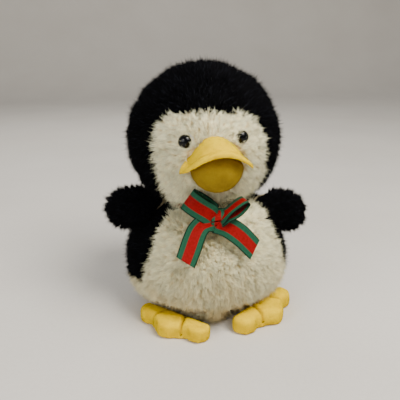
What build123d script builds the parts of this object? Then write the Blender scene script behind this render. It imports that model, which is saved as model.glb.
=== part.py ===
from build123d import *
import os
from math import cos, radians, sin, sqrt, tan

# A sitting plush penguin, in millimetres. It faces -Y, its own left is +X, and the origin is
# the centre of its flat base on the floor.

# Driving dimensions
NECK_HEIGHT = 120.0  # centre of the neck, where the head turns and nods
NECK_BALL = 40.0  # radius of the stuffing that the neck bends round
BODY_RADIUS = 85.0
BODY_WIDEST = 54.0  # height of the body's widest place
BASE_RADIUS = 50.0
SHOULDER = (58.0, 108.0)  # radius and height of a point on the shoulders
HEAD_RADIUS = 76.0
HEAD_HEIGHT = 174.0  # centre of the head
HEAD_LEAN = 3.0  # degrees that the head leans to the penguin's right
PILE_THICKNESS = 5.0  # plush fabric with its pile
NAP_THICKNESS = 2.2  # short-napped fabric of the beak and the feet
RIBBON_THICKNESS = 1.2
RIBBON_WIDTH = 20.0
SEAM_GAP = 0.3  # between a cover and the stuffing inside it
POCKET_GAP = 0.5  # round the neck's ball
BASE_THICKNESS = 4.0
NOD_SLOPE = 6.0  # degrees that the head's underside rises from the neck
SHOULDER_SLOPE = 12.0  # degrees that the shoulders fall from the neck
FAR = 300.0  # longer than anything here


def block(low, high):
    """A box from its lowest corner to its highest."""
    size = [b - a for a, b in zip(low, high)]
    middle = [(a + b) / 2 for a, b in zip(low, high)]
    return Pos(*middle) * Box(*size)


def level_arc_centre(radius, point, level):
    """Distance from the axis to the centre, at a level, of the arc upright there and through a point."""
    reach, height = point
    return (radius**2 - reach**2 - (height - level) ** 2) / (2 * (radius - reach))


def body_outline(inset):
    """Half of the body's front outline as a face, drawn in by an inset."""
    low_centre = level_arc_centre(BODY_RADIUS, (BASE_RADIUS, 0), BODY_WIDEST)
    high_centre = level_arc_centre(BODY_RADIUS, SHOULDER, BODY_WIDEST)
    low_round = BODY_RADIUS - low_centre - inset
    high_round = BODY_RADIUS - high_centre - inset
    low = Pos(low_centre, BODY_WIDEST) * Circle(low_round)
    low = low & Pos(FAR / 2, BODY_WIDEST / 2) * Rectangle(FAR, BODY_WIDEST)
    high = Pos(high_centre, BODY_WIDEST) * Circle(high_round)
    high = high & Pos(FAR / 2, BODY_WIDEST + FAR / 2) * Rectangle(FAR, FAR)
    low_core = Pos(low_centre / 2, BODY_WIDEST / 2) * Rectangle(low_centre, BODY_WIDEST)
    high_core = Pos(high_centre / 2, BODY_WIDEST + high_round / 2) * Rectangle(high_centre, high_round)
    return low + high + low_core + high_core


def beside_neck(slope, bottom, top):
    """Half of the space from one height to another that a cone from the neck leaves, as a face."""
    edge = NECK_HEIGHT + FAR * tan(radians(slope))
    end = bottom if slope < 0 else top
    outline = make_face(Polyline((0, NECK_HEIGHT), (FAR, edge), (FAR, end), (0, end), close=True))
    return outline - Pos(0, NECK_HEIGHT) * Circle(NECK_BALL + POCKET_GAP)


def turned(face):
    """Turn a half outline about Z."""
    return revolve(Plane.XZ * face, Axis.Z)


left_half = block((0, -FAR, -FAR), (FAR, FAR, FAR))
parts = {}

# Feet: three webbed toes each, sewn in at the front of the base
FOOT_PLACES = {"left": (56.0, -57.0, 42.5), "right": (-48.0, -69.0, -43.0)}
TOE_SPREAD = 40.5
TOE_RADIUS = 14.0
TOE_REACH = 45.0
HEEL_BACK = 45.0
WEB_RADIUS = 32.0
WEB_REACH = 24.0
FOOT_BACK = 20.0
FOOT_HEIGHT = 17.0
FOOT_EDGE_ROUND = 5.0
NOTCH_ROUND = 2.0
RECESS_HEIGHT = 25.0
RECESS_GAP = 3.0
RECESS_BACK = 8.5


def foot_outline(grow, back):
    """Three toes and the web between them, pointing along -Y, cut straight at the back."""
    outline = Pos(0, HEEL_BACK - WEB_REACH) * Circle(WEB_RADIUS + grow)
    for angle in (-TOE_SPREAD, 0, TOE_SPREAD):
        toe = Pos(0, -TOE_REACH) * Circle(TOE_RADIUS + grow)
        outline = outline + Pos(0, HEEL_BACK) * Rot(0, 0, angle) * toe
    outline = outline & Pos(0, back - FAR / 2) * Rectangle(FAR, FAR)
    notches = [v for v in outline.vertices() if abs(v.X) < WEB_RADIUS and v.Y < back - 1]
    return fillet(notches, NOTCH_ROUND)


recesses = []
for side, (x, y, splay) in FOOT_PLACES.items():
    place = Pos(x, y, 0) * Rot(0, 0, splay)
    outer = extrude(foot_outline(0, FOOT_BACK), FOOT_HEIGHT)
    outer = fillet(outer.edges().group_by(Axis.Z)[-1], FOOT_EDGE_ROUND)
    core = extrude(foot_outline(-NAP_THICKNESS, FOOT_BACK - NAP_THICKNESS), FOOT_HEIGHT - 2 * NAP_THICKNESS)
    core = Pos(0, 0, NAP_THICKNESS) * core
    fill = foot_outline(-NAP_THICKNESS - SEAM_GAP, FOOT_BACK - NAP_THICKNESS - SEAM_GAP)
    fill = extrude(fill, FOOT_HEIGHT - 2 * NAP_THICKNESS - 2 * SEAM_GAP)
    sole_slab = block((-FAR, -FAR, 0), (FAR, FAR, NAP_THICKNESS))
    parts[f"foot_{side}_upper"] = place * (outer - core - sole_slab)
    parts[f"foot_{side}_sole"] = place * (outer & sole_slab)
    parts[f"foot_{side}_stuffing"] = place * Pos(0, 0, NAP_THICKNESS + SEAM_GAP) * fill
    recesses.append(place * extrude(foot_outline(RECESS_GAP, FOOT_BACK + RECESS_BACK), RECESS_HEIGHT))
    pivot = place * Pos(0, FOOT_BACK, 1)
    print("foot", side, "hinge point", pivot.position, "turned", splay)
foot_room = recesses[0] + recesses[1]

# Body: a stuffed pear on a flat base
BELLY_HALF = [(32, 130), (50, 102), (64, 76), (72, 48), (86, 28), (86, -5)]  # half width by height
belly_outline = [(-x, z) for x, z in BELLY_HALF] + BELLY_HALF[::-1]
body_space = beside_neck(-SHOULDER_SLOPE, -FAR, FAR)
above_base = Pos(0, BASE_THICKNESS + FAR / 2) * Rectangle(2 * FAR, FAR)
above_fill = Pos(0, BASE_THICKNESS + SEAM_GAP + FAR / 2) * Rectangle(2 * FAR, FAR)
body_face = body_outline(0) & body_space
sides_face = (body_face & above_base) - body_outline(PILE_THICKNESS)
body_sides = turned(sides_face) - foot_room
belly_block = extrude(Plane.XZ * make_face(Polyline(*belly_outline, close=True)), FAR)
belly = body_sides & belly_block
back = body_sides - belly_block
parts["base_panel"] = turned(body_face - above_base) - foot_room
parts["belly_left"] = belly & left_half
parts["belly_right"] = belly - left_half
parts["body_back_left"] = back & left_half
parts["body_back_right"] = back - left_half
fill_face = body_outline(PILE_THICKNESS + SEAM_GAP) & above_fill & body_space
parts["body_stuffing"] = turned(fill_face) - foot_room

# Neck: the ball of stuffing inside the seam between the body and the head
parts["neck_stuffing"] = Pos(0, 0, NECK_HEIGHT) * Sphere(NECK_BALL)

# Head: a stuffed ball, made upright and leant over at the end
FACE_HALF_WIDTH = 50.0
FACE_TOP = 208.0
FACE_CORNER = 24.0
BALL_SEAM_TURN = 130.0  # turns the ball's own seam away from the panels' edges
head_centre = Pos(0, 0, HEAD_HEIGHT) * Rot(0, 0, BALL_SEAM_TURN)
head_form = head_centre * Sphere(HEAD_RADIUS)
head_cover = head_form - head_centre * Sphere(HEAD_RADIUS - PILE_THICKNESS)
face_window = RectangleRounded(2 * FACE_HALF_WIDTH, FACE_TOP + FAR, FACE_CORNER)
face_block = extrude(Plane.XZ * Pos(0, (FACE_TOP - FAR) / 2) * face_window, FAR)

# Eyes: a dome on a shank, locked by a washer inside the face
EYE_SIDE = 21.0  # degrees from the middle of the face
EYE_RAISE = 10.5  # degrees above the centre of the head
EYE_RADIUS = 7.0
EYE_DOME = 8.0
EYE_SEAT = 3.0  # how far the eye's flat back sits below the pile's surface
SHANK_RADIUS = 2.4
SHANK_LENGTH = 12.2
WASHER_RADIUS = 8.0
WASHER_THICKNESS = 1.6
WASHER_DEPTH = 7.5
SOCKET_RADIUS = 8.6  # the hollow in the stuffing for the washer and the shank
SOCKET_LENGTH = 12.0
eye_way = Vector(
    sin(radians(EYE_SIDE)) * cos(radians(EYE_RAISE)),
    -cos(radians(EYE_SIDE)) * cos(radians(EYE_RAISE)),
    sin(radians(EYE_RAISE)),
)
eye_place = Plane(origin=Vector(0, 0, HEAD_HEIGHT) + eye_way * HEAD_RADIUS, z_dir=eye_way).location
dome_drop = sqrt(EYE_DOME**2 - EYE_RADIUS**2)
in_front = block((-FAR, -FAR, -EYE_SEAT), (FAR, FAR, FAR))
dome = Pos(0, 0, -EYE_SEAT - dome_drop) * Sphere(EYE_DOME) & in_front
eye = eye_place * (dome + Pos(0, 0, -9) * Cylinder(SHANK_RADIUS, SHANK_LENGTH))
washer = Cylinder(WASHER_RADIUS, WASHER_THICKNESS) - Cylinder(SHANK_RADIUS, WASHER_THICKNESS)
washer = eye_place * Pos(0, 0, -WASHER_DEPTH) * washer
socket = eye_place * Pos(0, 0, -10) * Cylinder(SOCKET_RADIUS, SOCKET_LENGTH)

# Beak: an arched upper bill over a rounded lower one
ARCH_FOOT = 156.0  # height of the upper bill's corners
ARCH_RADIUS = 32.0
ROOF_RADIUS = 24.0
BILL_CENTRE = -73.0
BILL_RADIUS = 34.0
LOWER_CENTRE = (0.0, -76.0, 168.0)
LOWER_RADIUS = 25.0


def along_y(radius):
    """The half of a round bar along Y that lies above the bill's corners."""
    bar = extrude(Plane.XZ * Pos(0, ARCH_FOOT) * Circle(radius), FAR)
    return bar & block((-FAR, -FAR, ARCH_FOOT), (FAR, 0, FAR))


def mouth_room(inset):
    """The room below the upper bill's lining."""
    radius = ROOF_RADIUS - inset
    return along_y(radius) + block((-radius, -FAR, 100), (radius, 0, ARCH_FOOT))


bill_outer = along_y(ARCH_RADIUS) & Pos(0, BILL_CENTRE, ARCH_FOOT) * Cylinder(BILL_RADIUS, 2 * FAR)
bill_core = Pos(0, BILL_CENTRE, ARCH_FOOT) * Cylinder(BILL_RADIUS - NAP_THICKNESS, 2 * FAR)
bill_core = bill_core & along_y(ARCH_RADIUS - NAP_THICKNESS)
bill_roof = along_y(ROOF_RADIUS + NAP_THICKNESS)
bill_mouth = along_y(ROOF_RADIUS)
lower_outer = Pos(*LOWER_CENTRE) * Sphere(LOWER_RADIUS) & mouth_room(SEAM_GAP)
lower_core = Pos(*LOWER_CENTRE) * Sphere(LOWER_RADIUS - NAP_THICKNESS) & mouth_room(NAP_THICKNESS)

head_parts = {
    "face_panel": (head_cover & face_block) - eye - mirror(eye, about=Plane.YZ),
    "head_back_left": (head_cover - face_block) & left_half,
    "head_back_right": (head_cover - face_block) - left_half,
    "eye_left": eye,
    "eye_right": mirror(eye, about=Plane.YZ),
    "eye_washer_left": washer,
    "eye_washer_right": mirror(washer, about=Plane.YZ),
    "head_stuffing": head_centre * Sphere(HEAD_RADIUS - PILE_THICKNESS - SEAM_GAP)
    - socket
    - mirror(socket, about=Plane.YZ),
    "beak_upper_cover": bill_outer - bill_core - bill_mouth - head_form,
    "beak_upper_lining": (bill_core & bill_roof) - bill_mouth - head_form,
    "beak_upper_stuffing": bill_core - bill_roof - head_form,
    "beak_lower_cover": lower_outer - lower_core - head_form,
    "beak_lower_stuffing": lower_core - head_form,
}
lean = Pos(0, 0, NECK_HEIGHT) * Rot(0, -HEAD_LEAN, 0) * Pos(0, 0, -NECK_HEIGHT)
head_space = turned(beside_neck(NOD_SLOPE, -FAR, FAR))
reaches_neck = {"face_panel", "head_back_left", "head_back_right", "head_stuffing"}
for name, piece in head_parts.items():
    parts[name] = lean * (piece & head_space if name in reaches_neck else piece)

# Wings: flat paddles, black outside and lined inside, hinged along the shoulder seam
WING_ROOT = (62.0, -12.0, 120.0)
WING_LENGTH = 47.0
WING_ROOT_ROUND = 16.0
WING_TIP_ROUND = 20.0
WING_THICKNESS = 14.0
WING_COVER = 3.0
WING_DROP = 33.0  # degrees that the wing points below level
WING_TWIST = 24.0  # degrees that its lower edge comes forward
WING_HINGE = 5.0  # from the root to the seam
WING_FLAP = (-10.0, 30.0)  # degrees, down to up
WING_CLEARANCE = 0.8
wing_along = Vector(cos(radians(WING_DROP)), -0.05, -sin(radians(WING_DROP)))
wing_across = Vector(
    -sin(radians(WING_DROP)) * cos(radians(WING_TWIST)),
    -sin(radians(WING_TWIST)),
    -cos(radians(WING_DROP)) * cos(radians(WING_TWIST)),
)
wing_plane = Plane(origin=WING_ROOT, x_dir=wing_along, z_dir=wing_along.cross(wing_across))


def paddle(inset):
    """A rounded paddle along X, from the shoulder to the tip."""
    root = Pos(WING_ROOT_ROUND, 0) * Circle(WING_ROOT_ROUND - inset)
    tip = Pos(WING_LENGTH - WING_TIP_ROUND, 0) * Circle(WING_TIP_ROUND - inset)
    outline = make_hull([*root.edges(), *tip.edges()])
    slab = extrude(outline, WING_THICKNESS / 2 - inset, both=True)
    edges = slab.edges().filter_by(Plane.XY)
    return fillet(edges, (WING_THICKNESS / 2 - inset) * 0.85)


wing_hinge = wing_plane.origin + wing_plane.x_dir * WING_HINGE
hinge_line = Axis(wing_hinge, wing_plane.y_dir)
body_room = turned(body_outline(-WING_CLEARANCE) & body_space)
outside_face = block((-FAR, -FAR, -FAR), (FAR, FAR, 0))
wing_cover = paddle(0) - paddle(WING_COVER)
wing_pieces = {
    "outer": wing_cover & outside_face,
    "lining": wing_cover - outside_face,
    "stuffing": paddle(WING_COVER + SEAM_GAP),
}
for name, piece in wing_pieces.items():
    placed = wing_plane.location * piece
    for angle in (WING_FLAP[0], 0, WING_FLAP[1]):
        placed = placed - body_room.rotate(hinge_line, -angle)
    parts[f"wing_left_{name}"] = placed
    parts[f"wing_right_{name}"] = mirror(placed, about=Plane.YZ)
print("wing hinge", wing_hinge, "axis", wing_plane.y_dir)

# Ribbon: a band in the neck crease, a knot, two loops and two tails
BOW_Y = -68.0
BOW_HEIGHT = 114.0
BAND_RADIUS = 51.0
BAND_HEIGHT = 112.2
BAND_WIDTH = 8.0
KNOT_SIZE = (12.0, 10.0, 14.0)
KNOT_ROUND = 4.0
STEM_LOW = (-4.0, BOW_Y, 110.5)  # the short end that holds the knot to the band
STEM_HIGH = (4.0, -BAND_RADIUS + 0.5, 114.5)
LOOP_LENGTH = 27.0
LOOP_THICKNESS = 10.0
TAIL_START = 10.0  # how far in front of the knot's middle the tails begin
TAIL_SLOPE = 0.3  # how much further forward they come for each millimetre down
band = Cylinder(BAND_RADIUS, BAND_WIDTH) - Cylinder(BAND_RADIUS - RIBBON_THICKNESS, BAND_WIDTH)
body_bulk = turned(body_face)
parts["ribbon_neckband"] = (Pos(0, 0, BAND_HEIGHT) * band) - body_bulk
knot = Pos(0, BOW_Y, BOW_HEIGHT) * fillet(Box(*KNOT_SIZE).edges(), KNOT_ROUND)
stem = block(STEM_LOW, STEM_HIGH)
parts["ribbon_knot"] = (knot + stem) - parts["ribbon_neckband"] - body_bulk


def bow_loop(root, along, across):
    """A flattened loop of ribbon, from its root at the knot along one way, as wide as another."""
    outer = SlotOverall(LOOP_LENGTH, LOOP_THICKNESS)
    inner = SlotOverall(LOOP_LENGTH - 2 * RIBBON_THICKNESS, LOOP_THICKNESS - 2 * RIBBON_THICKNESS)
    ring = Pos(LOOP_LENGTH / 2, 0) * (outer - inner)
    plane = Plane(origin=root, x_dir=along, z_dir=across)
    return plane.location * extrude(ring, RIBBON_WIDTH / 2, both=True)


right_loop = bow_loop((-5.0, BOW_Y - 5, 116), (-0.78, -0.26, 0.58), (0.6, 0, 0.8))
left_loop = bow_loop((5.0, BOW_Y - 8, 115), (0.87, -0.12, 0.47), (-0.02, 0.96, 0.28))
parts["ribbon_loop_right"] = right_loop - parts["ribbon_knot"]
parts["ribbon_loop_left"] = left_loop - parts["ribbon_knot"]


def ribbon_tail(corners):
    """A flat ribbon end hanging in front of the belly, from its corners in front view."""
    points = [(x, BOW_Y - TAIL_START - (BOW_HEIGHT - z) * TAIL_SLOPE, z) for x, z in corners]
    return extrude(make_face(Polyline(*points, close=True)), RIBBON_THICKNESS, dir=(0, -1, 0))


parts["ribbon_tail_right"] = ribbon_tail([(-8, 105), (-27, 111), (-39, 87), (-22, 74)])
parts["ribbon_tail_left"] = ribbon_tail([(6, 102), (16, 112), (37, 98), (27, 80)])

os.makedirs("parts", exist_ok=True)
for name, piece in parts.items():
    export_step(piece, f"parts/{name}.step")
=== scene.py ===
"""A plush penguin with a striped ribbon bow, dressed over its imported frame, and a small studio round it."""

import logging
import math
from collections.abc import Callable, Sequence
from dataclasses import dataclass, field, replace
from enum import Enum

import bmesh
import bpy
import numpy as np
from mathutils import Matrix, Vector


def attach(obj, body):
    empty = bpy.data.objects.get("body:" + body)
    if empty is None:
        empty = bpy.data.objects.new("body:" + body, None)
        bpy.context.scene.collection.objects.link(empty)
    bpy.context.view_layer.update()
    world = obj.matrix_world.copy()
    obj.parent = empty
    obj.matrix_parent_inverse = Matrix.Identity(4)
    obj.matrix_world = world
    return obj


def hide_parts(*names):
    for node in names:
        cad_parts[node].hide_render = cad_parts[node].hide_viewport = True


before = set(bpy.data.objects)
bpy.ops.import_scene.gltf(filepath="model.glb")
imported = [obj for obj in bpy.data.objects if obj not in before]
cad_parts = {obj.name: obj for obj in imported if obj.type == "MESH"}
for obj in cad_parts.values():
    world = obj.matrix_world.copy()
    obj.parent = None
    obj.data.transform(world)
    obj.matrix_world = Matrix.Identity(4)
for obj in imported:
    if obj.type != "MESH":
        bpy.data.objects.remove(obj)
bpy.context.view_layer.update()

log = logging.getLogger("plush_penguin")

MM = 0.001
WELD = 0.02 * MM
TINY, LEVEL = 1e-12, 1e-6
CHANNEL_FADE = 2.5
TUFT_KINDS = 4096
CELL_PRIMES = (73856093, 19349663, 83492791)
BROAD_SWIRL, FINE_SWIRL, LENGTH_SWELL, TUFT_WARP = 16 * MM, 6 * MM, 22 * MM, 9 * MM
MOST_BEND = 0.9
ROOT_DEPTH, FLOOR_GAP = 0.4 * MM, 0.5 * MM
MIX_COLOUR_INPUTS = (0, 6, 7)
MIX_COLOUR_OUTPUT = 2
Colour = tuple[float, float, float, float]
Point = tuple[float, float, float]
Region = Callable[[np.ndarray], np.ndarray]
Socket = bpy.types.NodeSocket


class Side(Enum):
    """The penguin's own left (+X) or right (-X)."""

    LEFT = "left"
    RIGHT = "right"

    @property
    def sign(self) -> float:
        """+1 on the left, -1 on the right."""
        return 1.0 if self is Side.LEFT else -1.0

    def holds(self, points: np.ndarray) -> np.ndarray:
        """Whether each point is on this side."""
        return points[:, 0] >= 0 if self is Side.LEFT else points[:, 0] < 0


class Slot(Enum):
    """The record's material slots."""

    BLACK = "plush_black"
    WHITE = "plush_white"
    LINING = "wing_lining"
    YELLOW = "beak_fabric"
    EYE = "eye_plastic"
    RIBBON = "ribbon"
    FILL = "stuffing"


def shade(red: float, green: float, blue: float) -> Colour:
    """Turn a display colour of 0 to 255 into the linear colour that shaders take."""
    values = [v / 255 for v in (red, green, blue)]
    linear = [v / 12.92 if v <= 0.04045 else ((v + 0.055) / 1.055) ** 2.4 for v in values]
    return (linear[0], linear[1], linear[2], 1.0)


# ---------------------------------------------------------------- shader graphs


class Graph:
    """Adds nodes to one material or group, and joins them."""

    def __init__(self, tree: bpy.types.NodeTree) -> None:
        """Keep the tree to be filled."""
        self.tree = tree

    def fill(self, node: bpy.types.Node, inputs: dict) -> None:
        """Give a node's inputs their values, or join other nodes' outputs to them, by name or number."""
        for name, value in inputs.items():
            if isinstance(value, Socket):
                self.tree.links.new(value, node.inputs[name])
            else:
                node.inputs[name].default_value = value

    def add(self, kind: str, inputs: dict | None = None, **settings: object) -> bpy.types.Node:
        """Add one node.

        Args:
            kind: the node's type name, without the "ShaderNode" that it starts with.
            inputs: values, or other nodes' outputs, by socket name or number.
            settings: the node's own options.

        Returns:
            The new node.
        """
        node = self.tree.nodes.new(f"ShaderNode{kind}")
        for name, value in settings.items():
            setattr(node, name, value)
        self.fill(node, inputs or {})
        return node

    def group(self, tree: bpy.types.NodeTree, **inputs: object) -> bpy.types.bpy_prop_collection:
        """Add a group node with its own values and return its outputs."""
        return self.add("Group", inputs, node_tree=tree).outputs

    def place(self) -> Socket:
        """Return each point's place in the object's own frame."""
        return self.add("TexCoord").outputs["Object"]

    def attribute(self, name: str, output: str) -> Socket:
        """Return what the mesh holds under a name."""
        return self.add("Attribute", attribute_name=name).outputs[output]

    def noise(self, place: Socket, scale: object, detail: float, **more: float) -> Socket:
        """Return smooth noise at a scale."""
        return self.add("TexNoise", {"Vector": place, "Scale": scale, "Detail": detail} | more).outputs[0]

    def maths(self, operation: str, *values: object) -> Socket:
        """Add a Math node and return its output."""
        return self.add("Math", dict(enumerate(values)), operation=operation).outputs[0]

    def weigh(self, first: Socket, share: float, second: Socket, other_share: float) -> Socket:
        """Add two values up, each times its share."""
        weighed = (self.maths("MULTIPLY", *pair) for pair in ((first, share), (second, other_share)))
        return self.maths("ADD", *weighed)

    def spread(self, value: object, low: object, high: object, to_low: float, to_high: float) -> Socket:
        """Map a value from one range to another, held at both ends."""
        inputs = {"Value": value, "From Min": low, "From Max": high, "To Min": to_low, "To Max": to_high}
        return self.add("MapRange", inputs).outputs[0]

    def blend(self, factor: object, first: object, second: object, mode: str = "MIX") -> Socket:
        """Mix two colours and return the result."""
        inputs = dict(zip(MIX_COLOUR_INPUTS, (factor, first, second)))
        return self.add("Mix", inputs, data_type="RGBA", blend_type=mode).outputs[MIX_COLOUR_OUTPUT]

    def toned(self, colour: Socket, tone: Socket) -> Socket:
        """Darken or lighten a colour by a tone."""
        grey = self.add("CombineColor", dict.fromkeys(range(3), tone)).outputs[0]
        return self.blend(1.0, colour, grey, "MULTIPLY")

    def bump(self, height: Socket, strength: float, distance: float) -> Socket:
        """Turn a height into a normal."""
        return self.add("Bump", {"Height": height, "Strength": strength, "Distance": distance}).outputs[0]

    def give_out(self, **values: Socket) -> bpy.types.NodeTree:
        """End a group with its outputs, and return its tree."""
        self.fill(self.tree.nodes.new("NodeGroupOutput"), values)
        return self.tree


def start_group(name: str, numbers: Sequence[str],
                outputs: Sequence[str]) -> tuple[Graph, bpy.types.bpy_prop_collection]:
    """Start a shader group that takes a Vector and some numbers, and puts numbers out.

    Args:
        name: the group's name.
        numbers: the names of its number inputs.
        outputs: the names of its outputs.

    Returns:
        The graph that fills it, and what it is given.
    """
    tree = bpy.data.node_groups.new(name, "ShaderNodeTree")
    tree.interface.new_socket(name="Vector", in_out="INPUT", socket_type="NodeSocketVector")
    for direction, sockets in (("INPUT", numbers), ("OUTPUT", outputs)):
        for socket in sockets:
            tree.interface.new_socket(name=socket, in_out=direction, socket_type="NodeSocketFloat")
    return Graph(tree), tree.nodes.new("NodeGroupInput").outputs


class Effects:
    """The shader groups that several finishes share, each built once."""

    def __init__(self) -> None:
        """Build the groups."""
        self.grain = self.build_grain()
        self.weave = self.build_weave()
        self.soil = self.build_soil()

    def build_grain(self) -> bpy.types.NodeTree:
        """Uneven tone at a coarse and a fine scale, as in dyed fibre."""
        graph, given = start_group("Fibre grain", ("Coarse", "Fine"), ("Tone", "Height"))
        coarse = graph.noise(given["Vector"], given["Coarse"], 2.0)
        fine = graph.noise(given["Vector"], given["Fine"], 3.0, Roughness=0.65, Distortion=0.6)
        return graph.give_out(Tone=graph.weigh(coarse, 0.55, fine, 0.45), Height=fine)

    def build_weave(self) -> bpy.types.NodeTree:
        """Threads crossing each other, as in ribbon and lining cloth."""
        graph, given = start_group("Weave", ("Across", "Along"), ("Height", "Tone"))
        parts = graph.add("SeparateXYZ", {0: given["Vector"]}).outputs
        turns = (graph.maths("MULTIPLY", parts["X"], given["Across"]),
                 graph.maths("MULTIPLY", parts["Y"], given["Along"]))
        warp, weft = (graph.maths("SINE", graph.maths("MULTIPLY", turn, 2 * math.pi)) for turn in turns)
        height = graph.maths("ADD", graph.weigh(weft, 0.42, warp, 0.08), 0.5)
        wander = graph.noise(given["Vector"], 9.0, 4.0)
        # The tone follows the threads' height, darker in the troughs between them as painted shade, and wanders
        # at random.
        return graph.give_out(Height=height, Tone=graph.weigh(height, 0.35, wander, 0.65))

    def build_soil(self) -> bpy.types.NodeTree:
        """Yellowing that grows towards the ground and gathers in patches."""
        graph, given = start_group("Soiling", ("Low", "High"), ("Mask",))
        height = graph.add("SeparateXYZ", {0: given["Vector"]}).outputs["Z"]
        fall = graph.spread(height, given["Low"], given["High"], 1.0, 0.0)
        patch = graph.spread(graph.noise(given["Vector"], 38.0, 3.0), 0.38, 0.66, 0.15, 1.0)
        return graph.give_out(Mask=graph.maths("MULTIPLY", fall, patch))


EFFECTS = Effects()


def new_material(name: str) -> tuple[bpy.types.Material, Graph, bpy.types.Node]:
    """Make a material with an unset Principled shader.

    Args:
        name: the material's name.

    Returns:
        The material, its graph and its shader node.
    """
    material = bpy.data.materials.new(name)
    material.use_nodes = True
    shader = next(n for n in material.node_tree.nodes if n.type == "BSDF_PRINCIPLED")
    return material, Graph(material.node_tree), shader


@dataclass(frozen=True)
class PileFinish:
    """Long plush pile, each strand its own tone, darkened towards its root as painted shade and lighter at its
    tip.
    """

    name: str
    root: Colour
    tip: Colour
    speck_and_sheen: Colour
    speck_and_sheen_share: float
    soiled: Colour | None = None
    soil_low: float = 10 * MM
    soil_top: float = 70 * MM
    soil_share: float = 0.75
    roughness: float = 0.8
    sheen: float = 0.1
    gloss: float = 0.06

    def material(self) -> bpy.types.Material:
        """Build the material, which reads each strand's height, tone and tuft tone; a share of the tips takes a
        fleck colour, which is painted sheen on the black pile and a random tint on the others.
        """
        material, graph, shader = new_material(self.name)
        height, tone, tuft = graph.add("SeparateColor", {0: graph.attribute("strand", "Color")}).outputs
        height = graph.spread(height, 0.0, 0.8, 0.0, 1.0)
        # Painted shade: each strand runs from its tip colour down to a darker root colour, standing in for the
        # shade deep in the pile.
        colour = graph.blend(height, self.root, self.tip)
        # A share of the strands, chosen by their tone, take the fleck colour at their tips: painted sheen on the
        # black pile, a random tint on the rest.
        speck_and_sheen_mask = graph.spread(tone, 1.0 - self.speck_and_sheen_share, 1.0, 0.0, 1.0)
        colour = graph.blend(graph.maths("MULTIPLY", speck_and_sheen_mask, height), colour, self.speck_and_sheen)
        colour = graph.toned(colour, graph.spread(tuft, 0.0, 1.0, 0.74, 1.1))
        if self.soiled:
            soil = graph.group(EFFECTS.soil, Vector=graph.place(), Low=self.soil_low, High=self.soil_top)
            colour = graph.blend(graph.maths("MULTIPLY", soil["Mask"], self.soil_share), colour, self.soiled)
        graph.fill(shader, {"Base Color": colour, "Roughness": self.roughness, "Specular IOR Level": self.gloss,
                            "Sheen Weight": self.sheen, "Sheen Roughness": 0.5})
        return material


@dataclass(frozen=True)
class NapFinish:
    """Short brushed fabric: mottled colour, darkened along its sewn channels as painted shade, with a soft fibre
    surface.
    """

    name: str
    light: Colour
    deep: Colour
    # The dark colour painted as shade along the seams, which the fabric also soils towards near the ground.
    seam: Colour
    roughness: float = 0.9
    sheen: float = 0.12
    gloss: float = 0.1
    bump: float = 0.35

    def material(self) -> bpy.types.Material:
        """Build the material, which reads the piece's own seam mask and paints shade along it."""
        material, graph, shader = new_material(self.name)
        place = graph.place()
        grain = graph.group(EFFECTS.grain, Vector=place, Coarse=90.0, Fine=1500.0)
        colour = graph.blend(graph.spread(grain["Tone"], 0.36, 0.64, 0.0, 1.0), self.deep, self.light)
        soil = graph.group(EFFECTS.soil, Vector=place, Low=-5 * MM, High=20 * MM)
        # The seam mask paints shade in the sewn channels; the soil mask darkens the fabric near the ground; both
        # blend towards the seam colour.
        for mask, share in ((graph.attribute("seam", "Fac"), 0.7), (soil["Mask"], 0.3)):
            colour = graph.blend(graph.maths("MULTIPLY", mask, share), colour, self.seam)
        graph.fill(shader, {"Base Color": colour, "Normal": graph.bump(grain["Height"], self.bump, 0.6 * MM),
                            "Roughness": self.roughness, "Specular IOR Level": self.gloss,
                            "Sheen Weight": self.sheen, "Sheen Roughness": 0.45})
        return material


@dataclass(frozen=True)
class RibbonFinish:
    """Ribbed ribbon: green, red, green along its length, with dark woven edges."""

    name: str
    red: Colour
    green: Colour
    edge: Colour
    red_share: float = 0.46
    edge_share: float = 0.035
    blur: float = 0.008

    def material(self) -> bpy.types.Material:
        """Build the material, whose stripes follow the piece's own UV map."""
        material, graph, shader = new_material(self.name)
        uv = graph.add("UVMap", uv_map="ribbon").outputs[0]
        across = graph.add("SeparateXYZ", {0: uv}).outputs["X"]
        off_centre = graph.maths("ABSOLUTE", graph.maths("SUBTRACT", across, 0.5))
        weave = graph.group(EFFECTS.weave, Vector=uv, Across=44.0, Along=26.0)
        half, edge = self.red_share / 2, 0.5 - self.edge_share
        is_green = graph.spread(off_centre, half - self.blur, half + self.blur, 0.0, 1.0)
        is_edge = graph.spread(off_centre, edge - self.blur, edge, 0.0, 1.0)
        colour = graph.blend(is_edge, graph.blend(is_green, self.red, self.green), self.edge)
        # Painted shade in the weave's troughs, with random tone, darkens and lightens the stripes.
        colour = graph.toned(colour, graph.spread(weave["Tone"], 0.25, 0.75, 0.62, 1.12))
        graph.fill(shader, {"Base Color": colour, "Normal": graph.bump(weave["Height"], 0.35, 0.3 * MM),
                            "Roughness": 0.6, "Specular IOR Level": 0.12, "Sheen Weight": 0.02,
                            "Sheen Roughness": 0.3})
        return material


@dataclass(frozen=True)
class PlasticFinish:
    """Moulded plastic, polished or plain, with faint handling marks."""

    name: str
    colour: Colour
    smear: Colour
    roughness: float
    gloss: float = 0.5

    def material(self) -> bpy.types.Material:
        """Build the material."""
        material, graph, shader = new_material(self.name)
        grain = graph.group(EFFECTS.grain, Vector=graph.place(), Coarse=160.0, Fine=900.0)
        smear = graph.spread(grain["Tone"], 0.45, 0.7, 0.0, 1.0)
        rough = graph.maths("ADD", graph.maths("MULTIPLY", smear, 0.08), self.roughness)
        graph.fill(shader, {"Base Color": graph.blend(smear, self.colour, self.smear), "Roughness": rough,
                            "Specular IOR Level": self.gloss})
        return material


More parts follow.
